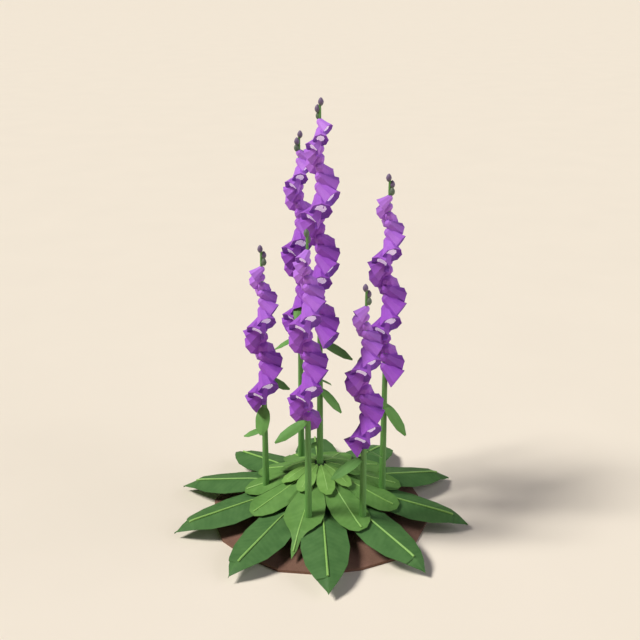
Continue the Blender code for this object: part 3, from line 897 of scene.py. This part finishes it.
def blade_rows(blade, fold):
    """Rows along the midrib as (distance from the axis, whether a side vein runs in it)."""
    length = blade.tip - blade.foot
    count = max(FEWEST_ROWS, round(length / LEAF_ROW))
    rows = []
    for row in range(count + 1):
        rows.append((blade.foot + length * row / count, row % 2 == 0 and 0 < row < count))
    for share, _ in blade.outline[1:-1]:
        corner = blade.foot + length * share
        start = corner
        for _ in range(CORNER_ROUNDS):
            start = corner - row_slant(blade, fold, start) * blade.width_at(corner)
        rows = [row for row in rows if abs(row[0] - start) > CORNER_CLEARANCE]
        rows.append((start, False))
    if fold is not None:
        rows = [row for row in rows if abs(row[0] - fold) > FOLD_CLEARANCE]
        rows += [(fold - FOLD_HALF_WIDTH, False), (fold + FOLD_HALF_WIDTH, False)]
    return sorted(rows)


def add_blade(bm, vein_layer, blade, fold):
    """The leaf's sheet: rows slanted along the side veins, with real relief and thickness."""
    steps = [side / LEAF_COLUMNS for side in range(-LEAF_COLUMNS, LEAF_COLUMNS + 1)]
    uppers = []
    lowers = []
    for start, on_vein in blade_rows(blade, fold):
        past_fold = fold is not None and start > fold
        slant = row_slant(blade, fold, start)
        upper = []
        lower = []
        for step in steps:
            aside = step * blade.width_at(start, step)
            for _ in range(SLANT_ROUNDS):
                aside = step * blade.width_at(min(blade.tip, start + slant * abs(aside)), step)
            reach = min(blade.tip, start + slant * abs(aside))
            drop = 0.0
            if past_fold and step < 0.0:
                aside -= step * min(FOLD_NOTCH, FOLD_NOTCH_SHARE * blade.width_at(start, step))
                drop = FOLD_DROP * min(1.0, FOLD_DROP_RATE * abs(step))
            height = max(LOWEST_LEAF_TOP, blade.blade_at(reach, aside) - drop)
            if on_vein:
                height += VEIN_RISE * (1.0 - VEIN_EDGE_LOSS * abs(step))
            point = blade.ahead * reach + blade.across * aside
            point.z = height
            vert = bm.verts.new(point)
            vert[vein_layer] = (1.0 - VEIN_FADE * abs(step)) if on_vein else 0.0
            upper.append(vert)
            thick = LEAF_THICKNESS + (LEAF_EDGE_THICKNESS - LEAF_THICKNESS) * abs(step)
            lower.append(bm.verts.new(point - Vector((0.0, 0.0, thick))))
        uppers.append(upper)
        lowers.append(lower)
    rows = [upper + list(reversed(lower)) for upper, lower in zip(uppers, lowers)]
    for near, far in zip(rows, rows[1:]):
        bridge(bm, near, far, SHEET_PLACE)
    for upper, lower in ((uppers[0], lowers[0]), (uppers[-1], lowers[-1])):
        for k in range(len(upper) - 1):
            face = bm.faces.new((upper[k], upper[k + 1], lower[k + 1], lower[k]))
            face.material_index = SHEET_PLACE


def add_midrib(bm, blade, ring):
    """A round, pale midrib along the blade."""
    points = []
    radii = []
    start_lift, middle_lift, end_lift = ring.rib_lift
    for row in range(RIB_ROWS + 1):
        share = row / RIB_ROWS
        reach = blade.foot + (blade.rib_tip - blade.foot) * share
        if share < 0.5:
            lift = start_lift + (middle_lift - start_lift) * share * 2
        else:
            lift = middle_lift + (end_lift - middle_lift) * (share * 2 - 1)
        point = blade.ahead * reach
        point.z = blade.blade_at(reach, 0.0) + lift
        points.append(point)
        radii.append(ring.rib_radii[0] + (ring.rib_radii[1] - ring.rib_radii[0]) * share)
    tube(bm, points, radii, RIB_SIDES, RIB_PLACE)


def build_leaves(ring, sheet, rib, painted_shade_sheet=None):
    """Every leaf of a ring as its own piece; those at the back may have a darker sheet as painted
    shade.
    """
    for index, bearing in enumerate(ring.bearings):
        # Leaves at the back take the darker sheet: painted shade
        at_back = painted_shade_sheet is not None and abs(bearing) > SHADED_BACK_BEARING
        materials = [painted_shade_sheet if at_back else sheet, rib]
        blade = Blade(ring, index)
        bm = bmesh.new()
        vein = bm.verts.layers.float.new("vein")
        fold = None
        if ring.folded:
            fold = blade.foot + (blade.tip - blade.foot) * ring.rib_end + FOLD_PAST_RIB
        add_blade(bm, vein, blade, fold)
        add_midrib(bm, blade, ring)
        finish_piece(f"blade_{blade.node}", bm, materials, ring.prefix, [blade.node], LEAF_SHARP)


# Soil


def build_soil(material):
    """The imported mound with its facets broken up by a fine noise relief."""
    bm = bmesh.new()
    bm.from_mesh(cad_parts["soil"].data)
    bmesh.ops.remove_doubles(bm, verts=bm.verts, dist=WELD)
    long_edges = [edge for edge in bm.edges if edge.calc_length() > SOIL_LONG_EDGE]
    bmesh.ops.subdivide_edges(bm, edges=long_edges, cuts=SOIL_CUTS, use_grid_fill=True)
    bmesh.ops.triangulate(bm, faces=bm.faces)
    for vert in bm.verts:
        if vert.co.z < SOIL_RIM_TOP:
            continue
        lump = noise.noise(vert.co / SOIL_RELIEF_SIZE)
        vert.co.z += SOIL_RELIEF * (lump - SOIL_RELIEF_MIDDLE)
    finish_piece("soil_mound", bm, [material], "soil", ["soil"], SOIL_SHARP)


# Stage


def add_sun(name, bearing, height, strength, softness, colour):
    """A distant light whose rays travel along a bearing, counted from +Y towards +X."""
    light = bpy.data.lights.new(name, "SUN")
    light.energy = strength
    light.angle = math.radians(softness)
    light.color = colour
    sun = bpy.data.objects.new(name, light)
    bpy.context.scene.collection.objects.link(sun)
    rise = math.radians(height)
    flat = math.radians(90 - bearing)
    travel = Vector((math.cos(flat), math.sin(flat), 0.0)) * math.cos(rise)
    travel.z = -math.sin(rise)
    sun.rotation_euler = travel.to_track_quat("-Z", "Y").to_euler()


def build_stage():
    """Floor, sky, lights and camera."""
    bpy.ops.mesh.primitive_plane_add(size=FLOOR_SIZE)
    floor = bpy.context.object
    floor.name = "floor"
    floor.data.materials.append(floor_material())

    world = bpy.data.worlds.new("sky")
    world.use_nodes = True
    background = world.node_tree.nodes["Background"]
    background.inputs["Color"].default_value = (*SKY_COLOUR, 1.0)
    background.inputs["Strength"].default_value = SKY_STRENGTH
    bpy.context.scene.world = world

    add_sun("sun", SUN_BEARING, SUN_HEIGHT, SUN_STRENGTH, SUN_SOFTNESS, SUN_COLOUR)
    add_sun("fill", FILL_BEARING, FILL_HEIGHT, FILL_STRENGTH, FILL_SOFTNESS, FILL_COLOUR)

    lens = bpy.data.cameras.new("camera")
    lens.sensor_fit = "HORIZONTAL"
    lens.angle = math.radians(CAMERA_WIDTH)
    camera = bpy.data.objects.new("camera", lens)
    bpy.context.scene.collection.objects.link(camera)
    tilt = math.radians(CAMERA_TILT)
    camera.location = (
        0.0, -CAMERA_DISTANCE * math.cos(tilt), CAMERA_AIM_Z + CAMERA_DISTANCE * math.sin(tilt)
    )
    camera.rotation_euler = (math.pi / 2 - tilt, 0.0, 0.0)
    bpy.context.scene.camera = camera
    bpy.context.scene.view_settings.view_transform = "Standard"


def main():
    """Dress the plant."""
    build_stage()

    petal = [petal_material(), shaded_inside_material(), throat_material()]
    stalk = [
        stalk_material("stalk_green", *STALK_GREEN),
        leaf_material("stem_leaf_green", *STEM_LEAF_GREEN),
        bud_material("bud_purple", *BUD_PURPLE),
        bud_material("bud_green", *BUD_GREEN),
    ]
    for spire in SPIRES:
        build_head(spire, petal)
        build_stem(spire, stalk)

    rib = stalk_material("midrib_green", *MIDRIB_GREEN)
    outer = LeafRing("outer_leaf", OUTER_BEARINGS, OUTER_OUTLINE, OUTER_HALF_WIDTH, folded=True,
                     rib_radii=(0.0014, 0.0026), rib_lift=(-0.0006, 0.0006, 0.0020), rib_end=0.89)
    middle = LeafRing("middle_leaf", MIDDLE_BEARINGS, MIDDLE_OUTLINE, MIDDLE_HALF_WIDTH, pointed=0,
                      rib_radii=(0.0014, 0.0020), rib_lift=(0.0004, -0.0010, 0.0010), rib_end=0.93)
    inner = LeafRing("inner_leaf", INNER_BEARINGS, INNER_OUTLINE, INNER_HALF_WIDTH,
                     rib_radii=(0.0012, 0.0010), rib_lift=(0.0002, -0.0002, -0.0006), rib_end=0.85)
    outer_green = leaf_material("outer_green", *OUTER_GREEN)
    middle_green = leaf_material("middle_green", *MIDDLE_GREEN)
    inner_green = leaf_material("inner_green", *INNER_GREEN)
    build_leaves(outer, outer_green, rib)
    build_leaves(middle, middle_green, rib)
    # The back inner leaves take the darker middle green as painted shade
    build_leaves(inner, inner_green, rib, middle_green)

    build_soil(soil_material())
    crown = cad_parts["crown"]
    crown.data.materials.clear()
    crown.data.materials.append(stalk_material("crown_green", *CROWN_GREEN, CROWN_ROUGHNESS))


main()
